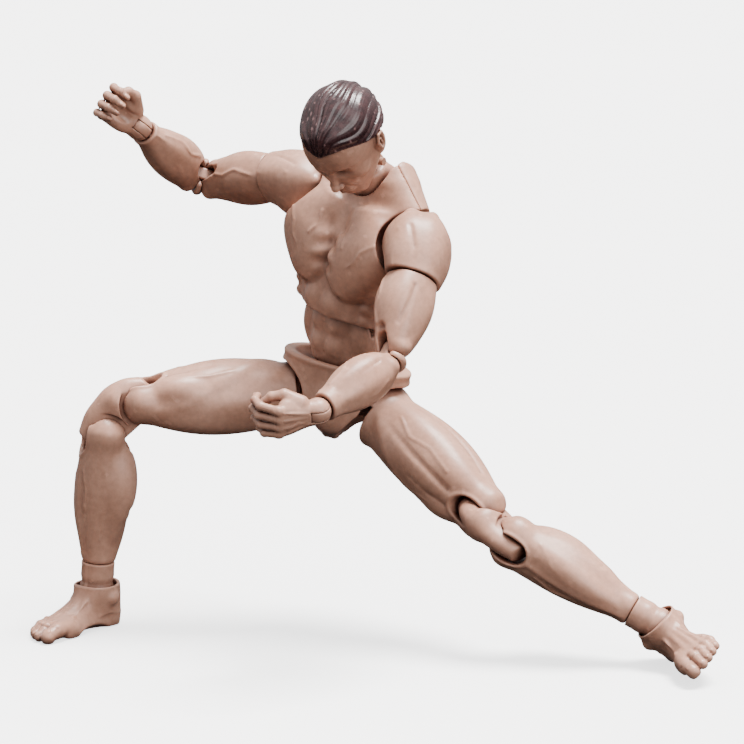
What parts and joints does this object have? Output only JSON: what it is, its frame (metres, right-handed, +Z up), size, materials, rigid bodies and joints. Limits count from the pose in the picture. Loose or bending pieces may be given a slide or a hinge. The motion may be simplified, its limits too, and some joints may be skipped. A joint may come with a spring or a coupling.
{
  "type": "articulated muscular body figure",
  "caption": "Small articulated muscular human body figure in a low side lunge, with double hinged elbows and knees and ball-shaped hips and shoulders.",
  "frame": {"origin": "on the ground under the middle of the figure in its resting lunge", "axes": "+Z up, +X to the figure's left along the lunge, the figure faces about -Y"},
  "size_m": [0.1346, 0.079, 0.1121],
  "materials": {
    "skin": "satin moulded plastic, rosy tan",
    "joint": "satin moulded plastic, slightly darker than the shells",
    "hair": "glossy painted plastic, dark brown"
  },
  "bodies": {
    "pelvis": {"pelvis": "skin", "hip_axle": "joint"},
    "waist_rotor": {"waist_rotor": "joint"},
    "abdomen": {"waist_pin": "joint", "abdomen": "skin", "midriff_pin": "joint"},
    "diaphragm_link": {"diaphragm_link": "joint"},
    "chest": {"chest_front": "skin", "chest_back": "skin", "collar_pin_l": "joint", "collar_pin_r": "joint"},
    "neck": {"neck": "skin"},
    "head_swivel": {"head_swivel": "joint"},
    "head": {"head": "skin", "hair": "hair"},
    "shoulder_yoke_l": {"shoulder_yoke_l": "joint"},
    "shoulder_yoke_r": {"shoulder_yoke_r": "joint"},
    "shoulder_rotor_l": {"shoulder_rotor_l": "joint"},
    "shoulder_rotor_r": {"shoulder_rotor_r": "joint"},
    "deltoid_l": {"deltoid_l": "skin"},
    "deltoid_r": {"deltoid_r": "skin"},
    "upper_arm_l": {"upper_arm_l": "skin", "elbow_top_pin_l": "joint"},
    "upper_arm_r": {"upper_arm_r": "skin", "elbow_top_pin_r": "joint"},
    "elbow_link_l": {"elbow_link_l": "joint"},
    "elbow_link_r": {"elbow_link_r": "joint"},
    "forearm_l": {"elbow_low_pin_l": "joint", "forearm_l": "skin"},
    "forearm_r": {"elbow_low_pin_r": "joint", "forearm_r": "skin"},
    "wrist_peg_l": {"wrist_peg_l": "joint"},
    "wrist_peg_r": {"wrist_peg_r": "joint"},
    "hip_rotor_l": {"hip_rotor_l": "joint"},
    "hip_rotor_r": {"hip_rotor_r": "joint"},
    "hip_link_l": {"hip_link_l": "joint"},
    "hip_link_r": {"hip_link_r": "joint"},
    "thigh_l": {"thigh_l": "skin", "knee_top_pin_l": "joint"},
    "thigh_r": {"thigh_r": "skin", "knee_top_pin_r": "joint"},
    "knee_link_l": {"knee_link_l": "skin"},
    "knee_link_r": {"knee_link_r": "skin"},
    "shin_l": {"knee_low_pin_l": "joint", "shin_l": "skin"},
    "shin_r": {"knee_low_pin_r": "joint", "shin_r": "skin"},
    "ankle_cuff_l": {"ankle_cuff_l": "skin"},
    "ankle_cuff_r": {"ankle_cuff_r": "skin"},
    "ankle_link_l": {"ankle_link_l": "joint"},
    "ankle_link_r": {"ankle_link_r": "joint"},
    "foot_l": {"foot_l": "skin"},
    "foot_r": {"foot_r": "skin"},
    "hand_l": {"hand_l": "skin"},
    "hand_r": {"hand_r": "skin"}
  },
  "joints": [
    {"name": "waist_twist", "type": "hinge", "parent": "pelvis", "child": "waist_rotor", "pos_m": [-0.00371, 0.01508, 0.05566], "axis": [0.1852, -0.0475, 0.9815], "range_deg": [-7, 73]},
    {"name": "waist_bend", "type": "hinge", "parent": "waist_rotor", "child": "abdomen", "pos_m": [-0.00371, 0.01508, 0.05566], "axis": [0.667, -0.7274, -0.1611], "range_deg": [-26, 6]},
    {"name": "midriff_tilt", "type": "hinge", "parent": "abdomen", "child": "diaphragm_link", "pos_m": [-0.00385, 0.01257, 0.06638], "axis": [0.7436, 0.6363, 0.2053], "range_deg": [-16, 8]},
    {"name": "chest_bend", "type": "hinge", "parent": "diaphragm_link", "child": "chest", "pos_m": [-0.00385, 0.01257, 0.06638], "axis": [0.6686, -0.7077, -0.2281], "range_deg": [-5, 23]},
    {"name": "neck_nod", "type": "hinge", "parent": "chest", "child": "neck", "pos_m": [0.00184, 0.01045, 0.08965], "axis": [0.6686, -0.7077, -0.2281], "range_deg": [-54, 4]},
    {"name": "head_turn", "type": "hinge", "parent": "neck", "child": "head_swivel", "pos_m": [-0.0008, 0.00597, 0.09581], "axis": [-0.2423, -0.4973, 0.8331], "range_deg": [-94, 56]},
    {"name": "head_nod", "type": "hinge", "parent": "head_swivel", "child": "head", "pos_m": [-0.0008, 0.00597, 0.09581], "axis": [0.8611, -0.5058, -0.0516], "range_deg": [-47, 3]},
    {"name": "shoulder_forward_l", "type": "hinge", "parent": "chest", "child": "shoulder_yoke_l", "pos_m": [0.00599, 0.00418, 0.08181], "axis": [0.1923, -0.1317, 0.9725], "range_deg": [-6, 27]},
    {"name": "arm_swing_l", "type": "hinge", "parent": "shoulder_yoke_l", "child": "shoulder_rotor_l", "pos_m": [0.00937, -0.00343, 0.08011], "axis": [-0.3984, 0.8952, 0.2], "range_deg": [-61, 144]},
    {"name": "arm_raise_l", "type": "hinge", "parent": "shoulder_rotor_l", "child": "deltoid_l", "pos_m": [0.00937, -0.00343, 0.08011], "axis": [-0.7218, -0.4405, 0.5338], "range_deg": [-25, 57]},
    {"name": "arm_twist_l", "type": "hinge", "parent": "deltoid_l", "child": "upper_arm_l", "pos_m": [0.00808, -0.01031, 0.07269], "axis": [0.2577, 0.5448, 0.798], "range_deg": [-91, 89]},
    {"name": "elbow_upper_l", "type": "hinge", "parent": "upper_arm_l", "child": "elbow_link_l", "pos_m": [0.0047, -0.01744, 0.06223], "axis": [-0.6548, 0.7057, -0.2704], "range_deg": [-14, 41]},
    {"name": "elbow_lower_l", "type": "hinge", "parent": "elbow_link_l", "child": "forearm_l", "pos_m": [0.00268, -0.02051, 0.05914], "axis": [-0.6548, 0.7057, -0.2704], "range_deg": [-24, 31]},
    {"name": "wrist_twist_l", "type": "hinge", "parent": "forearm_l", "child": "wrist_peg_l", "pos_m": [-0.00827, -0.03262, 0.05406], "axis": [0.6405, 0.7081, 0.2972], "range_deg": [-120, 60]},
    {"name": "wrist_bend_l", "type": "hinge", "parent": "wrist_peg_l", "child": "hand_l", "pos_m": [-0.00943, -0.03389, 0.05352], "axis": [-0.02, -0.3715, 0.9282], "range_deg": [-21, 69]},
    {"name": "hip_spread_l", "type": "hinge", "parent": "pelvis", "child": "hip_rotor_l", "pos_m": [0.00235, 0.01358, 0.04323], "axis": [-0.242, -0.9703, -0.0013], "range_deg": [-67.79, 17.21]},
    {"name": "hip_swing_l", "type": "hinge", "parent": "hip_rotor_l", "child": "hip_link_l", "pos_m": [0.00235, 0.01358, 0.04323], "axis": [-0.5315, 0.1337, -0.8364], "range_deg": [-47.6, 17.4]},
    {"name": "thigh_twist_l", "type": "hinge", "parent": "hip_link_l", "child": "thigh_l", "pos_m": [0.00235, 0.01358, 0.04323], "axis": [0.6073, -0.6283, -0.4863], "range_deg": [-101.1, 23.9]},
    {"name": "knee_upper_l", "type": "hinge", "parent": "thigh_l", "child": "knee_link_l", "pos_m": [0.0224, -0.0064, 0.02777], "axis": [0.4079, -0.2788, 0.8694], "range_deg": [0, 65]},
    {"name": "knee_lower_l", "type": "hinge", "parent": "knee_link_l", "child": "shin_l", "pos_m": [0.02817, -0.01237, 0.02315], "axis": [0.4079, -0.2788, 0.8694], "range_deg": [-29, 36]},
    {"name": "ankle_twist_l", "type": "hinge", "parent": "shin_l", "child": "ankle_cuff_l", "pos_m": [0.05352, -0.01767, 0.00955], "axis": [0.8617, -0.1973, -0.4675], "range_deg": [-12, 68]},
    {"name": "ankle_pitch_l", "type": "hinge", "parent": "ankle_cuff_l", "child": "ankle_link_l", "pos_m": [0.05654, -0.01836, 0.00792], "axis": [0.5019, 0.1951, 0.8426], "range_deg": [-40, 4]},
    {"name": "foot_tilt_l", "type": "hinge", "parent": "ankle_link_l", "child": "foot_l", "pos_m": [0.05654, -0.01836, 0.00792], "axis": [0.1949, -0.9747, 0.1096], "range_deg": [-2, 34]},
    {"name": "shoulder_forward_r", "type": "hinge", "parent": "chest", "child": "shoulder_yoke_r", "pos_m": [-0.00605, 0.01692, 0.08591], "axis": [-0.1923, 0.1317, -0.9725], "range_deg": [-17, 16]},
    {"name": "arm_swing_r", "type": "hinge", "parent": "shoulder_yoke_r", "child": "shoulder_rotor_r", "pos_m": [-0.01253, 0.02205, 0.08789], "axis": [-0.7621, 0.6043, 0.2325], "range_deg": [-47, 158]},
    {"name": "arm_raise_r", "type": "hinge", "parent": "shoulder_rotor_r", "child": "deltoid_r", "pos_m": [-0.01253, 0.02205, 0.08789], "axis": [0.5648, 0.796, -0.2176], "range_deg": [-62, 20]},
    {"name": "arm_twist_r", "type": "hinge", "parent": "deltoid_r", "child": "upper_arm_r", "pos_m": [-0.0207, 0.02809, 0.08877], "axis": [-0.8244, 0.556, -0.1057], "range_deg": [-112, 68]},
    {"name": "elbow_upper_r", "type": "hinge", "parent": "upper_arm_r", "child": "elbow_link_r", "pos_m": [-0.0315, 0.03538, 0.08739], "axis": [0.2457, 0.5199, 0.8181], "range_deg": [-46, 9]},
    {"name": "elbow_lower_r", "type": "hinge", "parent": "elbow_link_r", "child": "forearm_r", "pos_m": [-0.03601, 0.03499, 0.08899], "axis": [0.2457, 0.5199, 0.8181], "range_deg": [-44, 11]},
    {"name": "wrist_twist_r", "type": "hinge", "parent": "forearm_r", "child": "wrist_peg_r", "pos_m": [-0.04472, 0.0239, 0.09865], "axis": [-0.5098, -0.6485, 0.5653], "range_deg": [-155, 25]},
    {"name": "wrist_bend_r", "type": "hinge", "parent": "wrist_peg_r", "child": "hand_r", "pos_m": [-0.04564, 0.02273, 0.09967], "axis": [-0.5711, -0.2362, -0.7861], "range_deg": [-65, 25]},
    {"name": "hip_spread_r", "type": "hinge", "parent": "pelvis", "child": "hip_rotor_r", "pos_m": [-0.01384, 0.01762, 0.04649], "axis": [0.242, 0.9703, 0.0013], "range_deg": [-79.7, 5.3]},
    {"name": "hip_swing_r", "type": "hinge", "parent": "hip_rotor_r", "child": "hip_link_r", "pos_m": [-0.01384, 0.01762, 0.04649], "axis": [0.012, -0.0044, 0.9999], "range_deg": [-46.2, 18.8]},
    {"name": "thigh_twist_r", "type": "hinge", "parent": "hip_link_r", "child": "thigh_r", "pos_m": [-0.01384, 0.01762, 0.04649], "axis": [0.9774, 0.2113, -0.0108], "range_deg": [-4.4, 120.6]},
    {"name": "knee_upper_r", "type": "hinge", "parent": "thigh_r", "child": "knee_link_r", "pos_m": [-0.04544, 0.01113, 0.04636], "axis": [0.2097, -0.9742, -0.0835], "range_deg": [-42, 23]},
    {"name": "knee_lower_r", "type": "hinge", "parent": "knee_link_r", "child": "shin_r", "pos_m": [-0.05252, 0.01015, 0.0401], "axis": [0.2097, -0.9742, -0.0835], "range_deg": [-45, 20]},
    {"name": "ankle_twist_r", "type": "hinge", "parent": "shin_r", "child": "ankle_cuff_r", "pos_m": [-0.05435, 0.01225, 0.01098], "axis": [0.0792, -0.0682, 0.9945], "range_deg": [-77, 3]},
    {"name": "ankle_pitch_r", "type": "hinge", "parent": "ankle_cuff_r", "child": "ankle_link_r", "pos_m": [-0.05462, 0.01249, 0.0075], "axis": [0.754, -0.6485, -0.1045], "range_deg": [-22, 22]},
    {"name": "foot_tilt_r", "type": "hinge", "parent": "ankle_link_r", "child": "foot_r", "pos_m": [-0.05462, 0.01249, 0.0075], "axis": [0.6521, 0.7581, 0], "range_deg": [-12, 24]}
  ]
}
